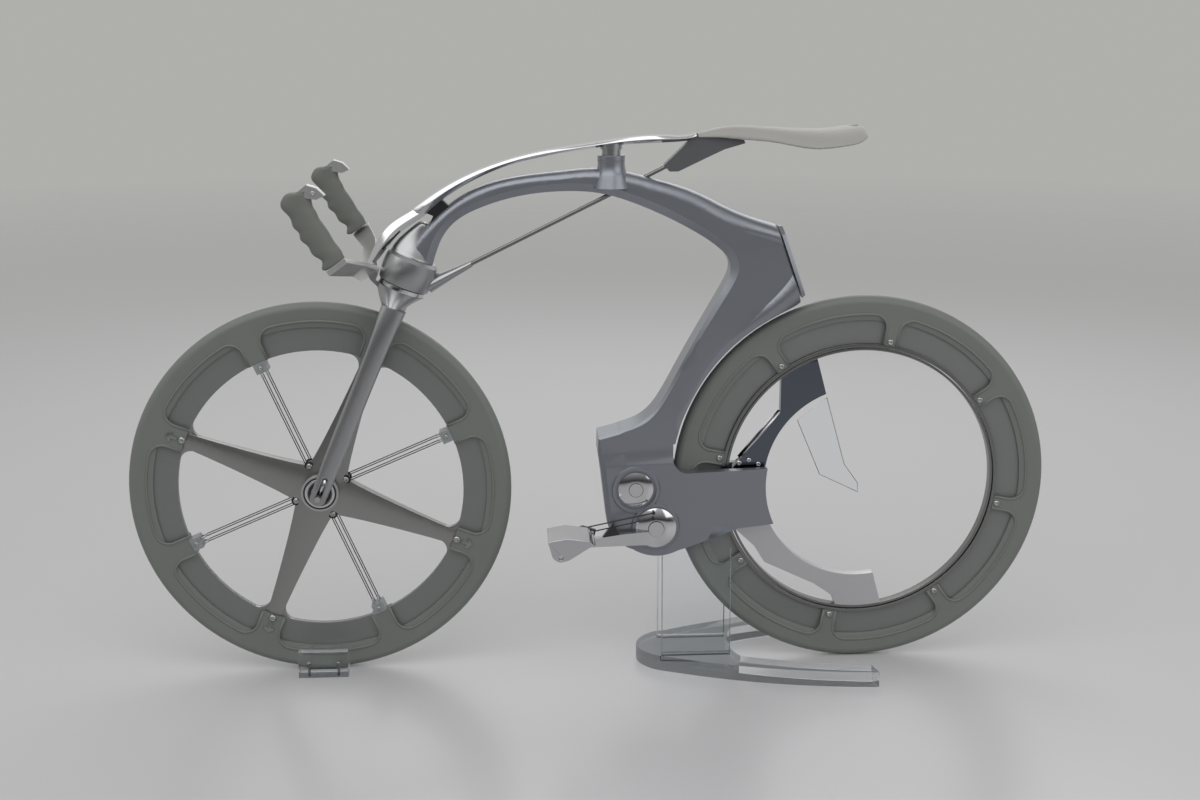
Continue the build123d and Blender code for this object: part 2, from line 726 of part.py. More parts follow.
# distance along X, height of the flank's lower edge, of the crown, and half width
saddle_stations = [
    (179, 946, 955, 18),
    (205, 945, 960, 20),
    (235, 943, 965, 24),
    (275, 940, 965, 30),
    (310, 937, 963, 40),
    (345, 931, 961, 52),
    (385, 928, 960, 63),
    (425, 933, 963, 69),
    (462, 948, 968, 66),
]
with BuildPart() as saddle:
    for x, low, high, half_width in saddle_stations:
        with BuildSketch(Plane(origin=(x, 0, 0), x_dir=(0, 1, 0), z_dir=(1, 0, 0))):
            with BuildLine():
                under = low + 0.45 * (high - low)
                ThreePointArc((-half_width, low + 2), (0, high), (half_width, low + 2))
                Line((half_width, low + 2), (half_width * 0.9, low))
                ThreePointArc((half_width * 0.9, low), (0, under), (-half_width * 0.9, low))
                Line((-half_width * 0.9, low), (-half_width, low + 2))
            make_face()
    loft()
    # the notch between the two rear lobes
    with BuildSketch(Plane.XY.offset(900)):
        with Locations((476, 0)):
            Ellipse(34, 22)
    extrude(amount=100, mode=Mode.SUBTRACT)
    add(saddle_beam.part, mode=Mode.SUBTRACT)
save(saddle, "saddle")
with BuildPart() as saddle_keel_fitted:
    add(saddle_keel.part)
    add(saddle.part, mode=Mode.SUBTRACT)
save(saddle_keel_fitted, "saddle_keel")

# ---------------------------------------------------------------- fork and steering
# height along the steering axis, offset to the side, half depth, half thickness
fork_stations = [(358, 44, 22, 14), (300, 55, 18.5, 8.5), (190, 57, 16.7, 7.5), (90, 57, 16.5, 7), (0, 56, 14, 6.5)]
# height along the steering axis, setback, half depth, half width of the crown
crown_sections = [(350, -3, 19, 58), (368, -5, 30.5, 48), (ring_height, -2, 43.5, 42)]
slot_length = 46.0
clear_radius = 49.0           # kept free about the shell for the steering

with BuildPart() as front_axle:
    with BuildSketch(side_plane()):
        with Locations((front_x, wheel_radius)):
            Circle(axle_radius)
    extrude(amount=axle_shaft_half_length, both=True)
    # at each end a short neck, then the peg that a carrier or roller stand takes
    for start, end, radius in (
        (axle_shaft_half_length, axle_neck_half_length, axle_neck_radius),
        (axle_neck_half_length, axle_half_length, axle_peg_radius),
    ):
        for side in (-1, 1):
            with BuildSketch(side_plane(side * start)):
                with Locations((front_x, wheel_radius)):
                    Circle(radius)
            extrude(amount=-side * (end - start))
save(front_axle, "front_axle")

with BuildPart() as fork:
    for height, setback, half_depth, half_width in crown_sections:
        with BuildSketch(steering_plane(height)):
            with Locations((setback, 0)):
                Ellipse(half_depth, half_width)
    loft()
    for side in (-1, 1):
        for height, offset, half_depth, half_thickness in fork_stations:
            with BuildSketch(steering_plane(height, side * offset)):
                Ellipse(half_depth, half_thickness)
        loft()
        with BuildSketch(steering_section(side * (blade_offset - 6.5))):
            Circle(14)
        extrude(amount=-side * 13)
    # open slot in each blade's tip, with the axle at its lower end
    with BuildSketch(steering_section()):
        with Locations((0, slot_length / 2 - axle_radius)):
            SlotOverall(slot_length, 2 * axle_radius, rotation=90)
    extrude(amount=through, both=True, mode=Mode.SUBTRACT)
    # the lip that rises ahead of the bearing ring and carries the handlebar
    with BuildSketch(steering_section()):
        polygon([(-30, 372), (-38, 386), (-50, 400), (-62, 392), (-56, 384), (-40, 377)])
    extrude(amount=16, both=True)
    with BuildSketch(steering_plane(ring_height)):
        Circle(clear_radius)
    extrude(amount=80, mode=Mode.SUBTRACT)
    with BuildSketch(steering_plane(ring_height)):
        Circle(steerer_radius)
    extrude(amount=shell_base_height - ring_height + steerer_length - 2)
    add(front_axle.part, mode=Mode.SUBTRACT)
save(fork, "fork")

with BuildPart() as steering_ring:
    with BuildSketch(steering_plane(ring_height)):
        Circle(ring_radius)
        Circle(steerer_radius, mode=Mode.SUBTRACT)
    extrude(amount=shell_base_height - ring_height - 2)
save(steering_ring, "steering_ring")

# corners of the handlebar's section at the middle, the elbows and the ends, in the side view
bar_root = [(-402, 714), (-368, 731), (-363, 721), (-397, 704)]
bar_elbow = [(-403, 743), (-381, 760), (-376, 752), (-398, 735)]
bar_elbow_offset = 140.0
bar_end = [(-431, 757), (-401, 778), (-397, 771), (-426, 750)]
with BuildPart() as handlebar:
    for side in (-1, 1):
        with BuildSketch(side_plane()):
            polygon(bar_root)
        with BuildSketch(side_plane(side * bar_elbow_offset)):
            polygon(bar_elbow)
        with BuildSketch(side_plane(side * (grip_offset + grip_half_width))):
            polygon(bar_end)
        loft(ruled=True)
    with BuildSketch(steering_plane(ring_height)):
        Circle(clear_radius)
    extrude(amount=80, mode=Mode.SUBTRACT)
    add(fork.part, mode=Mode.SUBTRACT)
save(handlebar, "handlebar")

# polished wedge that curves from the handlebar up to the beam's front end
# inner point and outer point of each section, as distance behind the steering axis and height along it
stem_sections = [
    ((-62, 388), (-69, 388)),
    ((-58, 410), (-70.5, 412)),
    ((-50, 438), (-69, 441)),
    ((-41, 468), (-62, 474)),
    ((-29, 492), (-47, 500)),
    ((-8, 522), (-31, 522)),
    ((4, 540), (-18, 540)),
]
with BuildPart() as stem_wedge:
    for inner, outer in stem_sections:
        start = steering_section().from_local_coords(Vector(inner[0], inner[1], 0))
        finish = steering_section().from_local_coords(Vector(outer[0], outer[1], 0))
        plane, depth = rib_plane((start.X, start.Z), (finish.X, finish.Z))
        with BuildSketch(plane):
            mirrored_polygon([(0, 11), (depth * 0.45, 16), (depth, 6)])
    loft()
    split(bisect_by=steering_plane(shear_height), keep=Keep.BOTTOM)
    add(handlebar.part, mode=Mode.SUBTRACT)
    add(fork.part, mode=Mode.SUBTRACT)
save(stem_wedge, "stem_wedge")

# front and back point of each cross-section of a grip, from its foot over the finger waves to its top
grip_stations = [
    ((-431, 757), (-401, 778)),
    ((-438, 765), (-405, 784)),
    ((-443, 776), (-411, 795)),
    ((-453, 783), (-417, 803)),
    ((-458, 794), (-423, 814)),
    ((-469, 804), (-430, 826)),
    ((-472, 817), (-436, 835)),
    ((-482, 829), (-441, 844)),
    ((-486, 842), (-445, 853)),
    ((-495, 852), (-448, 858)),
    ((-499, 864), (-450, 868)),
    ((-494, 874), (-452, 876)),
    ((-484, 880), (-454, 882)),
]
for side, name in ((-1, "left"), (1, "right")):
    with BuildPart() as grip:
        for front, back in grip_stations:
            start = Vector(front[0], side * grip_offset, front[1])
            along = Vector(back[0] - front[0], 0, back[1] - front[1])
            with BuildSketch(Plane(origin=start + along / 2, x_dir=along, z_dir=along.cross(Vector(0, 1, 0)))):
                Ellipse(along.length / 2, grip_half_width)
        loft()
        add(handlebar.part, mode=Mode.SUBTRACT)
    save(grip, f"grip_{name}")
    with BuildPart() as grip_cap:
        with BuildSketch(side_plane(side * grip_offset)):
            polygon([(-474, 880), (-457, 893), (-441, 888), (-429, 876), (-442, 870), (-456, 872)])
        extrude(amount=11, both=True)
        add(grip.part, mode=Mode.SUBTRACT)
    save(grip_cap, f"grip_cap_{name}")

# clear cheeks either side of the front tyre, on the floor
chock_inner_half_width = 20.0
chock_outer_half_width = 56.0
with BuildPart() as wheel_chock:
    for side in (-1, 1):
        with BuildSketch(side_plane(side * chock_inner_half_width)):
            with Locations((front_x - 4, 24)):
                Rectangle(88, 48)
        extrude(amount=-side * (chock_outer_half_width - chock_inner_half_width))
save(wheel_chock, "wheel_chock")

# ---------------------------------------------------------------- crank and pedals
disc_radius = 36.0
disc_button_radius = 13.5
disc_face = boss_half_width + 1
disc_rim_face = disc_face + 4
disc_crown_face = disc_face + 10.5
disc_button_face = disc_face + 13
arm_face = disc_face + 4
arm_thickness = 12.0
spindle_radius = 4.5
pedal_face = arm_face + arm_thickness + 6
pedal_width = 80.0
truss_wire_radius = 1.2

with BuildPart() as crank_axle:
    with BuildSketch(side_plane()):
        with Locations(crank_centre):
            Circle(crank_axle_radius)
    extrude(amount=disc_face, both=True)
save(crank_axle, "crank_axle")


def crank_plane(angle, y):
    """Side-view plane on the crank axle, its x towards the pedal and its y away from the truss."""
    reach = (cos(radians(angle)), 0, sin(radians(angle)))
    return Plane(origin=(crank_centre[0], y, crank_centre[1]), x_dir=reach, z_dir=(0, -1, 0))


for side, name, angle in ((-1, "left", 180 + crank_drop), (1, "right", crank_drop)):
    eye = crank_plane(angle, 0).from_local_coords(Vector(crank_length, 0, 0))

    with BuildPart() as crank_arm:
        with BuildSketch(crank_plane(angle, side * arm_face)):
            polygon([(14, 2), (60, 1), (115, 3), (165, -7), (180, -4), (178, 8), (126, 17), (52, 23), (20, 26)])
            with Locations((crank_length, 0)):
                Circle(9)
        extrude(amount=-side * arm_thickness)
        with BuildSketch(crank_plane(angle, side * (arm_face + arm_thickness))):
            with Locations((crank_length, 0)):
                Circle(spindle_radius)
        extrude(amount=-side * (pedal_width + 2))
    save(crank_arm, f"crank_arm_{name}")
    with BuildPart() as crank_disc:
        levels = (disc_face, disc_rim_face, disc_crown_face, disc_button_face)
        add(domed_disc(crank_centre, side, disc_radius, disc_button_radius, levels))
        add(crank_arm.part, mode=Mode.SUBTRACT)
    save(crank_disc, f"crank_disc_{name}")
    # king post and clamp on the arm, with two wires to the pins on the disc
    with BuildPart() as crank_truss:
        with BuildSketch(crank_plane(angle, side * (arm_face + 2))):
            polygon([(66, 1.2), (74, -18), (78, -18), (96, 2.2)])
            polygon([(112, 2.8), (106, -12), (128, -22), (146, -18), (150, -4)])
        extrude(amount=-side * (arm_thickness - 3))
        with BuildSketch(crank_plane(angle, side * disc_rim_face)):
            with Locations((2, -31), (4, -21)):
                Circle(3)
        extrude(amount=-side * (arm_face + arm_thickness - 1 - disc_rim_face))
        for start, finish in (((2, -31), (134, -18)), ((4, -21), (114, -10))):
            wire_plane = crank_plane(angle, side * (arm_face + arm_thickness - 3))
            origin = wire_plane.from_local_coords(Vector(*start))
            run = wire_plane.from_local_coords(Vector(*finish)) - origin
            with BuildSketch(Plane(origin=origin, z_dir=run)):
                Circle(truss_wire_radius)
            extrude(amount=run.length)
        add(crank_arm.part, mode=Mode.SUBTRACT)
        add(crank_disc.part, mode=Mode.SUBTRACT)
    save(crank_truss, f"crank_truss_{name}")
    # wedge-shaped pedal with a slotted tread, hung on its spindle
    with BuildPart() as pedal:
        with BuildSketch(Plane(origin=(eye.X, side * pedal_face, eye.Z), x_dir=(-side, 0, 0), z_dir=(0, -1, 0))):
            with BuildLine():
                Polyline((2, -9), (14, -6), (44, 13), (56, 20), (50, 27), (10, 33), (-22, 27), (-16, 6))
                ThreePointArc((-16, 6), (-10, -5), (2, -9))
            make_face()
            polygon([(14, 22), (60, 17), (60, 20), (14, 26)])
            Circle(spindle_radius + running_gap, mode=Mode.SUBTRACT)
        extrude(amount=-side * pedal_width)
    save(pedal, f"pedal_{name}")

# ---------------------------------------------------------------- stand
base_thickness = 28.0
with BuildPart() as stand_base:
    with BuildSketch(Plane.XY):
        with BuildLine():
            ThreePointArc((79, 0), (93, 38), (132, 66))
            ThreePointArc((132, 66), (300, 128), (495, 158))
            Line((495, 158), (488, 124))
            ThreePointArc((488, 124), (350, 98), (262, 68))
            ThreePointArc((262, 68), (251, 40), (248, 0))
            Line((248, 0), (79, 0))
        make_face()
        mirror(about=Plane.XZ)
    extrude(amount=base_thickness)

plate_thickness = 8.0
plate_foot = 39.5
plate_top = 30.0
plate_socket_height = 14.0
for side, name in ((-1, "left"), (1, "right")):
    with BuildPart() as stand_plate:
        with BuildSketch(Plane.YZ.offset(122)):
            polygon([
                (side * plate_foot, plate_socket_height), (side * (plate_foot + plate_thickness), plate_socket_height),
                (side * (plate_top + plate_thickness), 262), (side * plate_top, 262),
            ])
        extrude(amount=124)
        add(drive_housing.part, mode=Mode.SUBTRACT)
        below = stand_plate.solids().sort_by(Axis.Z)[0]
    with BuildPart() as fitted_plate:
        add(below)
    save(fitted_plate, f"stand_plate_{name}")
    with stand_base:
        add(fitted_plate.part, mode=Mode.SUBTRACT)
save(stand_base, "stand_base")
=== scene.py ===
"""Looks of the show bicycle: finishes, screws, soft saddle and grips, studio and camera.

Everything is in metres, in the frame of the CAD part: front towards -X, left side towards -Y, +Z up.
"""
import json
import math

import bmesh
import bpy
from mathutils import Matrix, Vector
from mathutils.bvhtree import BVHTree


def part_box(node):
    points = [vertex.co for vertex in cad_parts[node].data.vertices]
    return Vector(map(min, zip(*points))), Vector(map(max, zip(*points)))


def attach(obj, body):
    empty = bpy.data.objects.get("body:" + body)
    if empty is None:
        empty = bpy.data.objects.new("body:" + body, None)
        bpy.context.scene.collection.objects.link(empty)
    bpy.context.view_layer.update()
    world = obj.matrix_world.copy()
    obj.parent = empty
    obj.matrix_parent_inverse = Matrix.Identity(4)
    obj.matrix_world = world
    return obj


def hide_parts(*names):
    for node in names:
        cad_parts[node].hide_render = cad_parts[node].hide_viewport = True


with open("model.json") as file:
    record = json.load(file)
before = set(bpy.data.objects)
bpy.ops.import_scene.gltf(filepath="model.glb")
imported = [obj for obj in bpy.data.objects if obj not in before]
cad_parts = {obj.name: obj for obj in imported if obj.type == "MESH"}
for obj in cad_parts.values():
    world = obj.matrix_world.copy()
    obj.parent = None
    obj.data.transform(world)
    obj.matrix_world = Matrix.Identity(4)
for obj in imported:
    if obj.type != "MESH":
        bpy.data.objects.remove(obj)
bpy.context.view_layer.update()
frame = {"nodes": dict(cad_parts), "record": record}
nodes = frame["nodes"]
scene = bpy.context.scene
cad_edge_width = 0.0006             # rounding of the CAD pieces' sharp edges

wheel_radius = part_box("front_tyre")[1].z / 2
front_hub = Vector((sum(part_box("front_tyre")[i].x for i in (0, 1)) / 2, 0, wheel_radius))
rear_hub = Vector((sum(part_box("rear_tyre")[i].x for i in (0, 1)) / 2, 0, wheel_radius))
front_phase = math.radians(68)      # angle of the first blade of the front wheel
rear_phase = math.radians(34.5)     # angle of the first lobe of the rear wheel


# ---------------------------------------------------------------- finishes
def new_material(name, color, metallic=0.0, roughness=0.5, **sockets):
    """A Principled material with constants on its own sockets, its node tree and its shader."""
    material = bpy.data.materials.new(name)
    material.use_nodes = True
    tree = material.node_tree
    shader = tree.nodes["Principled BSDF"]
    shader.inputs["Base Color"].default_value = (*color, 1)
    shader.inputs["Metallic"].default_value = metallic
    shader.inputs["Roughness"].default_value = roughness
    for socket, value in sockets.items():
        shader.inputs[socket.replace("_", " ")].default_value = value
    return material, tree, shader


def object_coordinates(tree):
    return tree.nodes.new("ShaderNodeTexCoord").outputs["Object"]


def noise(tree, scale, detail=3.0):
    """Cloudy 0 to 1 value."""
    node = tree.nodes.new("ShaderNodeTexNoise")
    node.inputs["Scale"].default_value = scale
    node.inputs["Detail"].default_value = detail
    tree.links.new(object_coordinates(tree), node.inputs["Vector"])
    return node.outputs["Fac"]


def spread(tree, value, low, high):
    """Map a 0 to 1 value onto a range."""
    node = tree.nodes.new("ShaderNodeMapRange")
    node.inputs["To Min"].default_value = low
    node.inputs["To Max"].default_value = high
    tree.links.new(value, node.inputs["Value"])
    return node.outputs["Result"]


def bump(tree, shader, height, strength, distance):
    """Give a shader a fine relief."""
    node = tree.nodes.new("ShaderNodeBump")
    node.inputs["Strength"].default_value = strength
    node.inputs["Distance"].default_value = distance
    tree.links.new(height, node.inputs["Height"])
    tree.links.new(node.outputs["Normal"], shader.inputs["Normal"])


def vary_color(tree, shader, value, first, second):
    """Blend a shader's colour from the first to the second by a 0 to 1 value."""
    node = tree.nodes.new("ShaderNodeMix")
    node.data_type = "RGBA"
    node.inputs["A"].default_value = (*first, 1)
    node.inputs["B"].default_value = (*second, 1)
    tree.links.new(value, node.inputs["Factor"])
    tree.links.new(node.outputs["Result"], shader.inputs["Base Color"])


def metal(name, color, roughness, metallic=1.0, grain=0.03, coat=0.0):
    """Metal with slight cloudiness in its gloss."""
    material, tree, shader = new_material(name, color, metallic, roughness, Coat_Weight=coat)
    shader.inputs["Coat Roughness"].default_value = 0.12
    rough = spread(tree, noise(tree, 18), roughness - grain, roughness + grain)
    tree.links.new(rough, shader.inputs["Roughness"])
    bump(tree, shader, noise(tree, 900, 2), 0.02, 0.0002)
    return material


def woven(name, dark, light):
    """Fine woven mesh with a silky sheen."""
    material, tree, shader = new_material(name, dark, 0.55, 0.4)
    threads = []
    for turn in (math.radians(45), math.radians(-45)):
        mapping = tree.nodes.new("ShaderNodeMapping")
        mapping.inputs["Rotation"].default_value = (0, turn, 0)
        wave = tree.nodes.new("ShaderNodeTexWave")
        wave.inputs["Scale"].default_value = 190
        wave.inputs["Distortion"].default_value = 0.6
        tree.links.new(object_coordinates(tree), mapping.inputs["Vector"])
        tree.links.new(mapping.outputs["Vector"], wave.inputs["Vector"])
        threads.append(wave.outputs["Fac"])
    weave = tree.nodes.new("ShaderNodeMath")
    weave.operation = "MULTIPLY"
    tree.links.new(threads[0], weave.inputs[0])
    tree.links.new(threads[1], weave.inputs[1])
    vary_color(tree, shader, weave.outputs["Value"], dark, light)
    bump(tree, shader, weave.outputs["Value"], 0.5, 0.0003)
    return material


def moulded(name, first, second, roughness, grain_scale, strength=0.25, **sockets):
    """Matt moulded rubber or leather with a fine grain."""
    material, tree, shader = new_material(name, first, 0.0, roughness, **sockets)
    vary_color(tree, shader, noise(tree, 9), first, second)
    bump(tree, shader, noise(tree, grain_scale, 4), strength, 0.0004)
    return material


def clear(name, color=(0.97, 0.985, 0.99), roughness=0.02, transmission=1.0):
    """Clear or frosted acrylic, whose shadow is see-through."""
    material, tree, shader = new_material(
        name, color, 0.0, roughness, Transmission_Weight=transmission, IOR=1.3)
    output = tree.nodes["Material Output"]
    path = tree.nodes.new("ShaderNodeLightPath")
    see_through = tree.nodes.new("ShaderNodeBsdfTransparent")
    see_through.inputs["Color"].default_value = (0.93, 0.95, 0.96, 1)
    mix = tree.nodes.new("ShaderNodeMixShader")
    tree.links.new(path.outputs["Is Shadow Ray"], mix.inputs["Fac"])
    tree.links.new(shader.outputs["BSDF"], mix.inputs[1])
    tree.links.new(see_through.outputs["BSDF"], mix.inputs[2])
    tree.links.new(mix.outputs["Shader"], output.inputs["Surface"])
    rough = spread(tree, noise(tree, 6), roughness * 0.5, roughness * 2.0)
    tree.links.new(rough, shader.inputs["Roughness"])
    return material


finishes = {
    "frame_satin": metal("frame_satin", (0.252, 0.266, 0.296), 0.37, metallic=0.76, coat=0.22),
    "satin_aluminium": metal("satin_aluminium", (0.37, 0.375, 0.38), 0.34),
    "polished": metal("polished", (0.62, 0.62, 0.63), 0.12, grain=0.02),
    "dark_chrome": metal("dark_chrome", (0.12, 0.135, 0.16), 0.09, grain=0.02),
    "steel": metal("steel", (0.46, 0.46, 0.455), 0.22),
    "dark_bracket": metal("dark_bracket", (0.03, 0.03, 0.033), 0.25, metallic=0.4),
    "keel": metal("keel", (0.165, 0.168, 0.178), 0.42, metallic=0.7),
    "saddle_cover": moulded(
        "saddle_cover", (0.3, 0.295, 0.275), (0.33, 0.325, 0.305), 0.5, 700, 0.2),
    "clear_acrylic": clear("clear_acrylic"),
    "tyre": moulded(
        "tyre", (0.15, 0.163, 0.15), (0.165, 0.178, 0.165), 0.5, 500, 0.12),
    "rim_mesh": woven("rim_mesh", (0.185, 0.19, 0.188), (0.31, 0.315, 0.31)),
    "blade_metal": metal("blade_metal", (0.31, 0.308, 0.3), 0.3, metallic=0.95),
    "grip_rubber": moulded(
        "grip_rubber", (0.135, 0.142, 0.128), (0.15, 0.157, 0.142), 0.58, 900, 0.2),
    "pedal_metal": metal("pedal_metal", (0.55, 0.55, 0.57), 0.14),
}

# variations of a slot's finish on single pieces: brushed, darker or frosted. The darker steel on the saddle
# strut is painted shade, for the dark surroundings that the strut mirrors
finishes["brushed_bright"] = metal("brushed_bright", (0.62, 0.62, 0.61), 0.3, metallic=0.8)
# steel darkened all over; on the saddle strut this is painted shade standing in for the dark reflections it
# shows
finishes["darkened_steel"] = metal("darkened_steel", (0.22, 0.22, 0.215), 0.24)
finishes["wire_steel"] = metal("wire_steel", (0.1, 0.1, 0.1), 0.3)
finishes["pale_satin"] = metal("pale_satin", (0.56, 0.56, 0.57), 0.36, metallic=0.8)
finishes["frosted"] = clear("frosted", (0.36, 0.38, 0.39), 0.25, 0.45)
variations = {
    "handlebar": "brushed_bright", "grip_cap_left": "brushed_bright", "grip_cap_right": "brushed_bright",
    "saddle_strut": "darkened_steel", "front_spokes": "wire_steel", "rear_race": "darkened_steel",
    "bearing_ring": "darkened_steel", "carrier_lower": "pale_satin", "wire_clips": "frosted",
}

slots = {row["node"]: row["material_slot"] for row in frame["record"]["subparts"]}


# ---------------------------------------------------------------- the CAD pieces
def dress(piece, slot, variation=None):
    """Give a piece the finish of its slot, or a variation of it."""
    piece.data.materials.clear()
    piece.data.materials.append(finishes[variation or slot])
    normals = piece.data.attributes.get("custom_normal")       # they don't suit softened edges
    if normals:
        piece.data.attributes.remove(normals)
    piece.data.shade_smooth()


def soften_edges(piece, width):
    """Weld the faces of a CAD piece together and round its sharp edges."""
    weld = piece.modifiers.new("weld", "WELD")
    weld.merge_threshold = 0.00001
    edge = piece.modifiers.new("edges", "BEVEL")
    edge.width = width
    edge.segments = 2
    edge.limit_method = "ANGLE"
    edge.angle_limit = math.radians(28)
    edge.use_clamp_overlap = True
    shading = piece.modifiers.new("shading", "WEIGHTED_NORMAL")
    shading.keep_sharp = True


for name, piece in nodes.items():
    dress(piece, slots[name], variations.get(name))
    soften_edges(piece, cad_edge_width)


# ---------------------------------------------------------------- shared shapes
def mesh_piece(name, bm, slot, body, variation=None):
    """Turn a bmesh into a piece that rides on a body."""
    mesh = bpy.data.meshes.new(name)
    bm.normal_update()
    bm.to_mesh(mesh)
    bm.free()
    piece = bpy.data.objects.new(name, mesh)
    scene.collection.objects.link(piece)
    dress(piece, slot, variation)
    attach(piece, body)
    return piece


def surface_finder(*names):
    """A function that gives the outermost Y of some CAD nodes at a point of the side view, from one side."""
    trees = []
    for name in names:
        mesh = nodes[name].data
        mesh.calc_loop_triangles()
        corners = [v.co for v in mesh.vertices]
        trees.append(BVHTree.FromPolygons(corners, [t.vertices for t in mesh.loop_triangles]))

    def find(x, z, side):
        hits = [tree.ray_cast(Vector((x, side, z)), Vector((0, -side, 0)))[0] for tree in trees]
        return max((hit.y for hit in hits if hit), key=lambda y: y * side)

    return find


def around(hub, radius, angle):
    """Point of the side view at a radius and angle about a wheel's axle."""
    return hub.x + radius * math.cos(angle), hub.z + radius * math.sin(angle)


def ring_of(bm, centers, across, up, reach, rise, sides):
    """Rings of vertices about each centre, in the plane of its own two directions."""
    rings = []
    for center, sideways in zip(centers, across):
        ring = []
        for i in range(sides):
            a = 2 * math.pi * i / sides
            ring.append(bm.verts.new(center + sideways * (reach * math.cos(a)) + up * (rise * math.sin(a))))
        rings.append(ring)
    return rings


def join_rings(bm, low, high):
    """Faces between two rings with as many vertices."""
    count = len(low)
    for i in range(count):
        j = (i + 1) % count
        bm.faces.new((low[i], low[j], high[j], high[i]))


def close_ends(bm, first, last):
    """Faces over the first and the last ring of a strip."""
    bm.faces.new(last)
    bm.faces.new(list(reversed(first)))


def slab(bm, top, bottom):
    """Plate between two outlines of points."""
    top_ring, bottom_ring = [[bm.verts.new(point) for point in outline] for outline in (top, bottom)]
    close_ends(bm, bottom_ring, top_ring)
    join_rings(bm, top_ring, bottom_ring)


bead_sides = 8


def bead(bm, points, radius, rise=None, closed=False):
    """A rounded strip along points that lie in a plane of the side view."""
    up = Vector((0, 1, 0))
    count = len(points)
    across = []
    for i in range(count):
        before = points[i - 1] if closed or i else points[0]
        after = points[(i + 1) % count] if closed or i < count - 1 else points[-1]
        across.append((after - before).cross(up).normalized())
    rings = ring_of(bm, points, across, up, radius, rise or radius, bead_sides)
    if not closed:
        close_ends(bm, rings[0], rings[-1])
    for low, high in zip(rings, rings[1:]):
        join_rings(bm, low, high)
    if closed:
        join_rings(bm, rings[-1], rings[0])


def turned(bm, center, profile, axis="Y", segments=48):
    """A ring turned about a line through a centre, from the radius and offset of its section's corners."""
    rings = []
    for i in range(segments):
        a = 2 * math.pi * i / segments
        if axis == "Y":
            points = [Vector((r * math.cos(a), offset, r * math.sin(a))) for r, offset in profile]
        else:
            points = [Vector((r * math.cos(a), r * math.sin(a), offset)) for r, offset in profile]
        rings.append([bm.verts.new(center + point) for point in points])
    for first, second in zip(rings, rings[1:] + rings[:1]):
        join_rings(bm, first, second)


def shaped(name, bm, slot, body, edge_width=0.0, variation=None):
    """Finish a mesh piece, with its faces turned outwards and its edges rounded."""
    bmesh.ops.recalc_face_normals(bm, faces=bm.faces)
    piece = mesh_piece(name, bm, slot, body, variation)
    if edge_width:
        edge = piece.modifiers.new("edges", "BEVEL")
        edge.width = edge_width
        edge.segments = 2
        edge.limit_method = "ANGLE"
    return piece


def band(radius, half_width, low, high, side):
    """Rectangular section of a turned ring that stands on a face looking to one side."""
    return [
        (radius - half_width, side * low), (radius + half_width, side * low),
        (radius + half_width, side * high), (radius - half_width, side * high),
    ]


# a screw's head from its seat to its socket, as shares of its radius outwards and upwards
screw_profile = [(1, -0.3), (1, 0.22), (0.93, 0.42), (0.75, 0.58), (0.6, 0.64), (0.56, 0.62)]
socket_share = 0.5
socket_floor = 0.15


def hexagon_reach(angle):
    """Distance of a hexagon's side from its centre at an angle, where its corners lie at 1."""
    return math.cos(math.pi / 6) / math.cos(angle % (math.pi / 3) - math.pi / 6)


def add_screw(bm, place, direction, radius, segments=24):
    """A button-head screw with a hexagonal socket, its head standing out along the direction."""
    turn = Vector((0, 0, 1)).rotation_difference(direction).to_matrix().to_4x4()
    to_place = Matrix.Translation(place) @ turn

    def ring(height, share, hexagonal):
        corners = []
        for i in range(segments):
            a = 2 * math.pi * i / segments
            reach = share * hexagon_reach(a) if hexagonal else share
            corner = Vector((reach * math.cos(a), reach * math.sin(a), height)) * radius
            corners.append(bm.verts.new(to_place @ corner))
        return corners

    rings = [ring(height, share, False) for share, height in screw_profile]
    rings += [ring(height, socket_share, True) for height in (screw_profile[-1][1], socket_floor)]
    for low, high in zip(rings, rings[1:]):
        join_rings(bm, low, high)
    close_ends(bm, rings[0], rings[-1])


def screws(name, body, places, radius, slot="steel"):
    """Screws of one body in one mesh. Each place is a point and the direction that its head faces."""
    bm = bmesh.new()
    for place, direction in places:
        add_screw(bm, place, direction, radius)
    piece = mesh_piece(name, bm, slot, body)
    edge = piece.modifiers.new("edges", "BEVEL")
    edge.width = radius * 0.05
    edge.segments = 1
    return piece


def seated(find, points):
    """Places on both sides of the surface that a finder knows, for points of the side view."""
    places = []
    for x, z in points:
        for side in (-1, 1):
            places.append((Vector((x, find(x, z, side), z)), Vector((0, side, 0))))
    return places


# ---------------------------------------------------------------- wheels
blade_angles = [front_phase + math.pi / 2 * n for n in range(4)]
clip_angles = [a + math.pi / 4 for a in blade_angles]
lobe_angles = [rear_phase + math.pi / 4 * n for n in range(8)]
front_surface = surface_finder("front_spider", "front_tyre", "front_rim", "wire_clips")
rear_surface = surface_finder("rear_tyre", "rear_rim")
hub_screw_distance = 0.048          # from the axle


def wheel_screws(name, body, find, hub, angles, distance, head_radius):
    """Screws on both faces of a wheel, at a distance from its axle."""
    screws(name, body, seated(find, [around(hub, distance, a) for a in angles]), head_radius)


wheel_screws("blade_tip_screws", "front_wheel", front_surface, front_hub, blade_angles, 0.255, 0.0062)
wheel_screws("hub_screws", "front_wheel", front_surface, front_hub, clip_angles, hub_screw_distance, 0.0052)
wheel_screws("clip_screws", "front_wheel", front_surface, front_hub, clip_angles, 0.241, 0.004)
wheel_screws("lobe_screws", "rear_wheel", rear_surface, rear_hub, lobe_angles, 0.257, 0.0055)


def counterbore_shade():
    """Dark rings under the hub's screws: painted shade in their counterbores."""
    bm = bmesh.new()
    places = [around(front_hub, hub_screw_distance, a) for a in clip_angles]
    for place, direction in seated(front_surface, places):
        # near-black rings stand in for the shade inside each counterbore: painted shade
        turned(bm, place, band(0.0067, 0.0018, -0.0006, 0.0007, direction.y), segments=32)
    shaped("counterbore_shade", bm, "dark_bracket", "front_wheel", 0.0003)


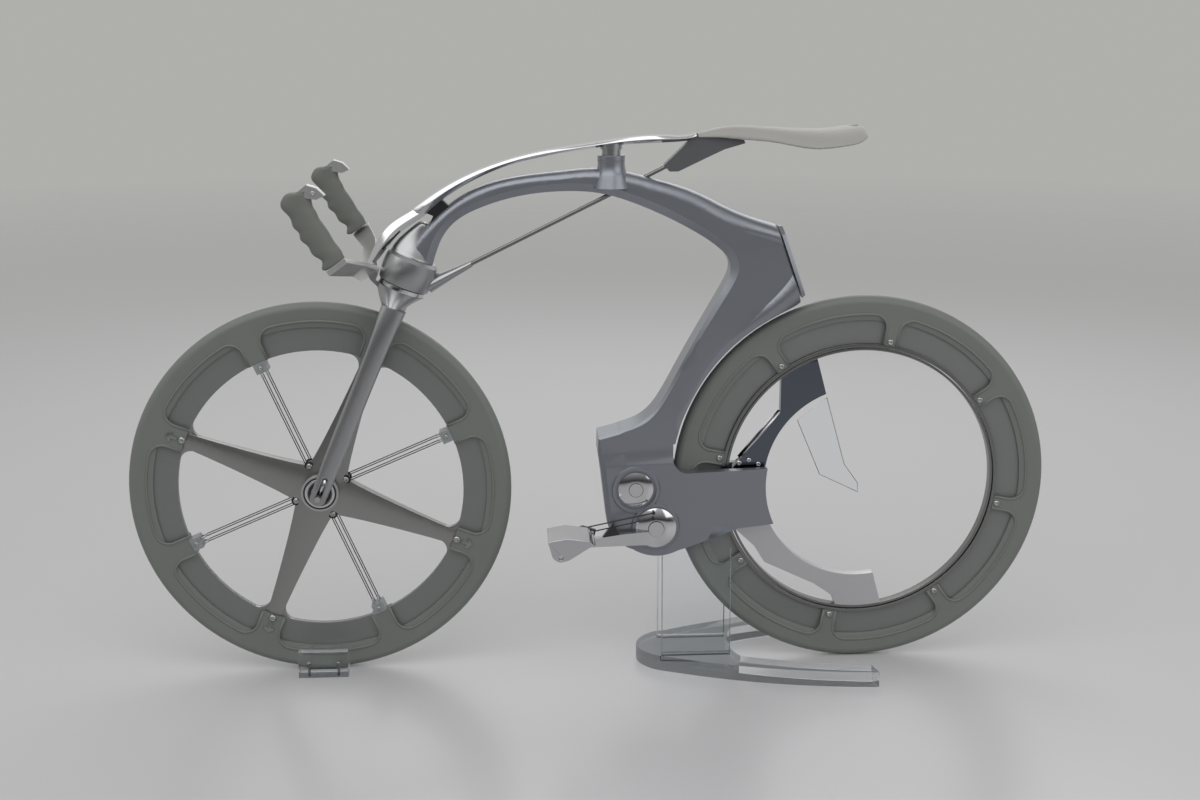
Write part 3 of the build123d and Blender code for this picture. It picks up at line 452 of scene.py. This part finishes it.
def hub_rings():
    """Bright ring in a groove on each face of the front hub, with the groove's shade painted as dark rings.
    """
    recess = 0.013                  # of the hub's rings behind the ends of its nose
    face = max(abs(corner.y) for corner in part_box("front_hub")) - recess
    foot = face - 0.001
    bright = bmesh.new()
    dark = bmesh.new()
    for side in (-1, 1):
        turned(bright, front_hub, band(0.0235, 0.0022, foot, face + 0.0018, side))
        # painted shade: near-black rings either side of the bright ring, for the shade in the groove
        turned(dark, front_hub, band(0.0276, 0.0014, foot, face + 0.0003, side))
        turned(dark, front_hub, band(0.0179, 0.0028, foot, face + 0.0004, side))
    shaped("hub_bright_rings", bright, "polished", "front_wheel", 0.0006)
    shaped("hub_groove_shade", dark, "dark_bracket", "front_wheel", 0.0001)


counterbore_shade()
hub_rings()

band_radius = 0.303                 # outer edge of the pockets in a moulded band
band_face = 0.0119                  # distance of its face from the middle plane
corner_radius = 0.024
rim_inner_radius = 0.2505
lobe_pitch = math.pi / 4


def corner_arc(along, beside, radius, steps):
    """Arc about a centre along and beside a spoke line, from its flank round to the wheel's curve."""
    last = math.atan2(beside, along)
    angles = [-math.pi / 2 + (last + math.pi / 2) * i / steps for i in range(steps + 1)]
    return [(along + radius * math.cos(a), beside + radius * math.sin(a)) for a in angles]


def half_pocket(lobe_half_width):
    """Outline of a pocket from the rim's inner edge up one lobe and round the corner, as radius and angle."""
    beside = corner_radius + lobe_half_width
    along = math.sqrt((band_radius - corner_radius)**2 - beside**2)
    points = [(math.sqrt(rim_inner_radius**2 - lobe_half_width**2), lobe_half_width)]
    points += corner_arc(along, beside, corner_radius, 9)
    return [(math.hypot(x, z), math.atan2(z, x)) for x, z in points]


def pocket_beads(name, hub, phase, lobe_half_widths, body):
    """Raised bead round each pocket of a moulded band, on both faces."""
    bm = bmesh.new()
    for n in range(8):
        first = half_pocket(lobe_half_widths[n % 2])
        second = [(r, lobe_pitch - a) for r, a in half_pocket(lobe_half_widths[(n + 1) % 2])]
        steps = 10
        start, finish = first[-1][1], second[-1][1]
        long_arc = [(band_radius, start + (finish - start) * i / steps) for i in range(1, steps)]
        outline = first + long_arc + list(reversed(second))
        for side in (-1, 1):
            points = []
            for r, a in outline:
                x, z = around(hub, r, phase + n * lobe_pitch + a)
                points.append(Vector((x, side * band_face, z)))
            bead(bm, points, 0.0022, 0.0017)
    shaped(name, bm, "tyre", body)


pocket_beads("front_beads", front_hub, front_phase, (0.020, 0.017), "front_wheel")
pocket_beads("rear_beads", rear_hub, rear_phase, (0.011, 0.011), "rear_wheel")


def tip_fillets():
    """Rounded corners between each blade's edges and the rim's inner edge."""
    fillet_radius = 0.020
    blade_half_width = 0.0142
    half_thickness = 0.0046
    inner_radius = 0.250
    beside = blade_half_width + fillet_radius
    along = math.sqrt((inner_radius - fillet_radius)**2 - beside**2)
    arc = corner_arc(along, beside, fillet_radius, 8)
    last_x, last_z = arc[-1]
    # the outline's other corners lie hidden in the blade and in the rim
    hidden = [(inner_radius + 0.004, 0.008), (along - 0.001, 0.012), (along, blade_half_width - 0.001)]
    outline = hidden + arc + [(last_x + 0.003, last_z + 0.0005)]
    bm = bmesh.new()
    for angle in blade_angles:
        for mirror in (-1, 1):
            corners = []
            for x, z in outline:
                corners.append(around(front_hub, math.hypot(x, z), angle + mirror * math.atan2(z, x)))
            slab(bm, *[[(x, y, z) for x, z in corners] for y in (-half_thickness, half_thickness)])
    shaped("tip_fillets", bm, "blade_metal", "front_wheel", 0.0008)


tip_fillets()


def spoke_axes(angle):
    """Directions along and across a spoke line."""
    return Vector((math.cos(angle), 0, math.sin(angle))), Vector((-math.sin(angle), 0, math.cos(angle)))


def wire_ferrules():
    """Short sleeves where the wires enter the clips."""
    inner_end, outer_end = 0.222, 0.234         # from the axle
    wire_face = 0.008
    wire_offset = 0.005
    bm = bmesh.new()
    for angle in clip_angles:
        along, across = spoke_axes(angle)
        for y in (-wire_face, wire_face):
            for offset in (-wire_offset, wire_offset):
                base = front_hub + across * offset + Vector((0, y, 0))
                bead(bm, [base + along * inner_end, base + along * outer_end], 0.0017)
    shaped("wire_ferrules", bm, "steel", "front_wheel", 0.0004)


wire_ferrules()


def rim_tabs():
    """Small T-shaped tabs set on the moulded lobes beyond the blade tips."""
    # radius and half width
    half_outline = [(0.264, 0.0032), (0.2745, 0.0032), (0.273, 0.009), (0.2775, 0.0095), (0.284, 0.0)]
    outline = half_outline + [(r, -w) for r, w in reversed(half_outline[:-1])]
    rise, depth = 0.0018, 0.0005
    bm = bmesh.new()
    for angle in blade_angles:
        along, across = spoke_axes(angle)
        x, z = around(front_hub, 0.28, angle)
        for side in (-1, 1):
            seat = front_surface(x, z, side)
            faces = []
            for level in (seat + side * rise, seat - side * depth):
                middle = front_hub + Vector((0, level, 0))
                faces.append([middle + along * r + across * w for r, w in outline])
            slab(bm, *faces)
    shaped("rim_tabs", bm, "blade_metal", "front_wheel", 0.0003)


rim_tabs()


# ---------------------------------------------------------------- fork, stem and drive trim
tilt = math.radians(23)
steer_up = Vector((math.sin(tilt), 0, math.cos(tilt)))
steer_back = Vector((math.cos(tilt), 0, -math.sin(tilt)))


def steered(back, height, y=0.0):
    """Point given by its distance behind the steering axis and its height along it."""
    return front_hub + steer_back * back + steer_up * height + Vector((0, y, 0))


def pill(half_width, low, high, steps=8):
    """Outline of a slot along the steering axis, as distance behind it and height along it."""
    points = []
    for center, first in ((high - half_width, 0), (low + half_width, math.pi)):
        for i in range(steps + 1):
            a = first + math.pi * i / steps
            points.append((half_width * math.cos(a), center + half_width * math.sin(a)))
    return points


def slot_trim():
    """Rounded lip about each of the fork's slots, and the polished plate inside it."""
    lip_face = 0.0625
    plate_faces = (0.0596, 0.0580)
    lip = bmesh.new()
    plate = bmesh.new()
    outline = pill(0.0058, -0.0058, 0.0408)
    inlay = pill(0.0054, 0.0062, 0.0404)
    for side in (-1, 1):
        bead(lip, [steered(back, height, side * lip_face) for back, height in outline], 0.0012, closed=True)
        slab(plate, *[[steered(back, height, side * y) for back, height in inlay] for y in plate_faces])
    shaped("slot_lips", lip, "satin_aluminium", "steering")
    shaped("slot_plates", plate, "polished", "steering")


slot_trim()


def stem_slot_shade():
    """Dark strips along the stem's flanks: painted shade in its slots."""
    start_back, start_height = -0.0555, 0.440
    run_back, run_height = 0.0165, 0.040
    depth = 0.0004
    steps = 6
    bm = bmesh.new()
    find = surface_finder("stem_wedge")
    for side in (-1, 1):
        points = []
        for i in range(steps + 1):
            share = i / steps
            place = steered(start_back + run_back * share, start_height + run_height * share)
            points.append(Vector((place.x, find(place.x, place.z, side) - side * depth, place.z)))
        bead(bm, points, 0.0021, 0.0012)
    # near-black beads are painted shade, standing in for the dark insides of the slots
    shaped("stem_slot_shade", bm, "dark_bracket", "steering")


stem_slot_shade()

cap_low, cap_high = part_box("gear_cap")
gear_center = (cap_low + cap_high) / 2
cap_face = cap_high.y
disc_low, disc_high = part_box("crank_disc_left")
crank_center = (disc_low + disc_high) / 2
disc_face = -disc_low.y


def disc_rings():
    """Thin dark joint round the button of each polished disc, and a lip round the gear cap's recess."""
    for name, center, radius, face, body in (
        ("gear_cap_joints", gear_center, 0.0124, cap_face - 0.0013, "frame"),
        ("crank_disc_joints", crank_center, 0.0139, disc_face - 0.0027, "crank"),
    ):
        bm = bmesh.new()
        for side in (-1, 1):
            middle = Vector((center.x, 0, center.z))
            turned(bm, middle, band(radius, 0.0005, face - 0.002, face + 0.0004, side))
        shaped(name, bm, "dark_bracket", body)


disc_rings()


def brow_fairing():
    """Smooth fairing from the head shell's brow up to the pivot."""
    # height along the steering axis, distance behind it, half depth, half width
    sections = [
        (0.4405, -0.0015, 0.0415, 0.0400), (0.452, -0.0050, 0.0355, 0.0285), (0.466, -0.0085, 0.0280, 0.0190),
        (0.482, -0.0090, 0.0195, 0.0135), (0.497, -0.0075, 0.0125, 0.0108), (0.510, -0.0045, 0.0080, 0.0100),
    ]
    sideways = Vector((0, 1, 0))
    sides = 40
    bm = bmesh.new()
    rings = []
    for height, back, half_depth, half_width in sections:
        center = steered(back, height)
        rings += ring_of(bm, [center], [steer_back], sideways, half_depth, half_width, sides)
    for low, high in zip(rings, rings[1:]):
        join_rings(bm, low, high)
    close_ends(bm, rings[0], rings[-1])
    piece = shaped("brow_fairing", bm, "satin_aluminium", "frame")
    smooth = piece.modifiers.new("smooth", "SUBSURF")
    smooth.levels = smooth.render_levels = 2


brow_fairing()


def carrier_trim():
    """Bright front edge of the upper carrier, and the screws at its foot between the rear arms."""
    face = max(abs(corner.y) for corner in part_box("clear_blade")) + 0.006
    front_edge = ((0.262, 0.3785), (0.300, 0.4235), (0.333, 0.463))
    foot_screws = ((0.262, 0.371), (0.279, 0.376), (0.296, 0.3685))
    bm = bmesh.new()
    for side in (-1, 1):
        bead(bm, [Vector((x, side * face, z)) for x, z in front_edge], 0.0016, 0.0008)
    shaped("carrier_edges", bm, "polished", "frame")
    places = seated(surface_finder("carrier_upper"), foot_screws)
    screws("carrier_screws", "frame", places, 0.0045, slot="polished")


carrier_trim()


def acrylic_edges():
    """Lightly frosted sawn edges of the clear blade and of the stand's two plates."""
    edge_radius = 0.0007
    blade_half_thickness = 0.0032
    rear_edge = ((0.409, 0.345), (0.479, 0.311), (0.478, 0.328), (0.453, 0.363), (0.418, 0.486))
    front_edge = ((0.3665, 0.445), (0.409, 0.345))
    bm = bmesh.new()
    for line in (rear_edge, front_edge):
        bead(bm, [Vector((x, 0, z)) for x, z in line], edge_radius, blade_half_thickness)
    plate_bottom, plate_top = 0.029, 0.222      # what shows of a plate, over the base and under the housing
    plate_height = 0.248
    top_face = 0.038
    for side_name, side in (("left", -1), ("right", 1)):
        low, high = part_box(f"stand_plate_{side_name}")
        foot_face = max(abs(low.y), abs(high.y)) - 0.0005
        lean = (foot_face - top_face) / plate_height
        for x in (low.x + 0.0006, high.x - 0.0006):
            ends = []
            for z in (plate_bottom, plate_top):
                ends.append(Vector((x, side * (foot_face - lean * (z - low.z)), z)))
            bead(bm, ends, edge_radius)
    shaped("acrylic_edges", bm, "clear_acrylic", "frame", variation="frosted")


acrylic_edges()


def chock_bolts():
    """Upright bolts through the clear chock, and the dark joint above its foot."""
    low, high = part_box("wheel_chock")
    middle = (low.x + high.x) / 2
    cheek_middle, joint_face = 0.046, 0.052     # from the middle plane
    bolt_spacing = 0.026
    joint_height = 0.0165
    bolts = bmesh.new()
    joint = bmesh.new()
    shank = [(0.0, 0.001), (0.0021, 0.001), (0.0021, 0.022), (0.004, 0.025), (0.004, 0.027), (0.0, 0.027)]
    for side in (-1, 1):
        for offset in (-bolt_spacing, bolt_spacing):
            center = Vector((middle + offset, side * cheek_middle, 0))
            turned(bolts, center, shank, axis="Z", segments=16)
        points = [Vector((middle + x, side * joint_face, joint_height)) for x in (-0.024, 0, 0.024)]
        bead(joint, points, 0.0006, 0.003)
    bmesh.ops.remove_doubles(bolts, verts=bolts.verts, dist=0.00001)
    shaped("chock_bolts", bolts, "steel", "steering")
    shaped("chock_joints", joint, "dark_bracket", "steering")


chock_bolts()


def cap_screws():
    """One screw through the outer face of each grip's metal cap."""
    places = []
    for side_name, side in (("left", -1), ("right", 1)):
        find = surface_finder(f"grip_cap_{side_name}")
        low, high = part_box(f"grip_cap_{side_name}")
        x, z = (low.x + high.x) / 2 + 0.004, (low.z + high.z) / 2 - 0.001
        places.append((Vector((x, find(x, z, side), z)), Vector((0, side, 0))))
    screws("cap_screws", "steering", places, 0.0035)


cap_screws()

# ---------------------------------------------------------------- saddle and grips
def smooth_copy(name, node, slot, body, voxel, rounds):
    """A smoothed, evenly meshed copy of a soft CAD piece, which it replaces in the picture."""
    source = nodes[node]
    piece = bpy.data.objects.new(name, source.data.copy())
    scene.collection.objects.link(piece)
    dress(piece, slot)
    weld = piece.modifiers.new("weld", "WELD")
    weld.merge_threshold = 0.00001
    remesh = piece.modifiers.new("remesh", "REMESH")
    remesh.mode = "VOXEL"
    remesh.voxel_size = voxel
    remesh.use_smooth_shade = True
    relax = piece.modifiers.new("relax", "SMOOTH")
    relax.factor = 0.5
    relax.iterations = rounds
    dressed = piece.evaluated_get(bpy.context.evaluated_depsgraph_get())
    mesh = bpy.data.meshes.new_from_object(dressed)
    piece.modifiers.clear()
    piece.data = mesh
    mesh.name = name
    mesh.materials.clear()
    mesh.materials.append(finishes[slot])
    mesh.shade_smooth()
    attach(piece, body)
    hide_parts(node)
    return piece


saddle_pad = smooth_copy("saddle_pad", "saddle", "saddle_cover", "frame", 0.002, 30)
for side_name in ("left", "right"):
    grip_name = f"grip_sleeve_{side_name}"
    grip = smooth_copy(grip_name, f"grip_{side_name}", "grip_rubber", "steering", 0.002, 6)


# ---------------------------------------------------------------- studio
def floor():
    """Pale glossy floor that fades into the backdrop's colour far from the bicycle."""
    reach = 14.0
    fade_start, fade_end = 2.5, 9.0
    bpy.ops.mesh.primitive_circle_add(vertices=96, radius=reach, fill_type="NGON")
    piece = bpy.context.object
    piece.name = "studio_floor"
    material, tree, shader = new_material("studio_floor", (0.53, 0.525, 0.535), 0.0, 0.3)
    shader.inputs["Specular IOR Level"].default_value = 0.5
    distance = tree.nodes.new("ShaderNodeVectorMath")
    distance.operation = "LENGTH"
    tree.links.new(object_coordinates(tree), distance.inputs[0])
    fade = tree.nodes.new("ShaderNodeMapRange")
    fade.inputs["From Min"].default_value = fade_start
    fade.inputs["From Max"].default_value = fade_end
    tree.links.new(distance.outputs["Value"], fade.inputs["Value"])
    see_through = tree.nodes.new("ShaderNodeBsdfTransparent")
    mix = tree.nodes.new("ShaderNodeMixShader")
    tree.links.new(fade.outputs["Result"], mix.inputs["Fac"])
    tree.links.new(shader.outputs["BSDF"], mix.inputs[1])
    tree.links.new(see_through.outputs["BSDF"], mix.inputs[2])
    tree.links.new(mix.outputs["Shader"], tree.nodes["Material Output"].inputs["Surface"])
    piece.data.materials.append(material)


def backdrop():
    """Even light and a pale background. Metal mirrors a dark hall on the left, and pale walls elsewhere."""
    world = bpy.data.worlds.new("studio")
    scene.world = world
    world.use_nodes = True
    tree = world.node_tree
    plain = tree.nodes["Background"]
    plain.inputs["Color"].default_value = (0.9, 0.9, 0.9, 1)
    plain.inputs["Strength"].default_value = 0.5
    shown = tree.nodes.new("ShaderNodeBackground")
    shown.inputs["Color"].default_value = (0.43, 0.43, 0.415, 1)
    mirrored = tree.nodes.new("ShaderNodeBackground")
    direction = tree.nodes.new("ShaderNodeSeparateXYZ")
    tree.links.new(tree.nodes.new("ShaderNodeTexCoord").outputs["Generated"], direction.inputs["Vector"])
    ramp = tree.nodes.new("ShaderNodeValToRGB")
    for position, level in ((0.0, 0.03), (0.45, 0.05), (0.62, 0.3), (0.85, 0.8), (1.0, 0.9)):
        if position in (0.0, 1.0):
            stop = ramp.color_ramp.elements[int(position)]
        else:
            stop = ramp.color_ramp.elements.new(position)
        stop.position = position
        stop.color = (level, level, level * 1.02, 1)
    tree.links.new(direction.outputs["Z"], ramp.inputs["Fac"])
    hall = tree.nodes.new("ShaderNodeMapRange")
    hall.inputs["From Min"].default_value = -0.35
    hall.inputs["From Max"].default_value = -0.75
    tree.links.new(direction.outputs["Y"], hall.inputs["Value"])
    surroundings = tree.nodes.new("ShaderNodeMix")
    surroundings.data_type = "RGBA"
    surroundings.inputs["A"].default_value = (0.55, 0.55, 0.54, 1)
    tree.links.new(hall.outputs["Result"], surroundings.inputs["Factor"])
    tree.links.new(ramp.outputs["Color"], surroundings.inputs["B"])
    tree.links.new(surroundings.outputs["Result"], mirrored.inputs["Color"])
    path = tree.nodes.new("ShaderNodeLightPath")
    first = tree.nodes.new("ShaderNodeMixShader")
    tree.links.new(path.outputs["Is Glossy Ray"], first.inputs["Fac"])
    tree.links.new(plain.outputs["Background"], first.inputs[1])
    tree.links.new(mirrored.outputs["Background"], first.inputs[2])
    seen = tree.nodes.new("ShaderNodeMath")
    seen.operation = "MAXIMUM"
    tree.links.new(path.outputs["Is Camera Ray"], seen.inputs[0])
    tree.links.new(path.outputs["Is Transmission Ray"], seen.inputs[1])
    second = tree.nodes.new("ShaderNodeMixShader")
    tree.links.new(seen.outputs["Value"], second.inputs["Fac"])
    tree.links.new(first.outputs["Shader"], second.inputs[1])
    tree.links.new(shown.outputs["Background"], second.inputs[2])
    tree.links.new(second.outputs["Shader"], tree.nodes["World Output"].inputs["Surface"])


def lamp(name, place, target, size, power):
    """Soft box that faces a target."""
    data = bpy.data.lights.new(name, "AREA")
    data.shape = "RECTANGLE"
    data.size, data.size_y = size
    data.energy = power
    piece = bpy.data.objects.new(name, data)
    piece.location = place
    piece.rotation_euler = (Vector(target) - Vector(place)).to_track_quat("-Z", "Y").to_euler()
    scene.collection.objects.link(piece)


floor()
backdrop()
middle_of_part = (0.05, 0, 0.45)
lamp("key_light", (-1.2, -1.7, 3.5), middle_of_part, (5.6, 3.6), 80)
lamp("fill_light", (2.8, -2.4, 1.9), middle_of_part, (3.0, 2.2), 26)
lamp("back_light", (0.6, 2.6, 2.6), middle_of_part, (3.6, 1.8), 36)

camera_data = bpy.data.cameras.new("camera")
camera_data.lens = 49.05
camera_data.sensor_width = 36
camera = bpy.data.objects.new("camera", camera_data)
camera.location = (-0.146, -2.798, 1.163)
camera.rotation_euler = (math.radians(76.46), math.radians(0.1), math.radians(-3.3))
scene.collection.objects.link(camera)
scene.camera = camera
scene.view_settings.view_transform = "Standard"
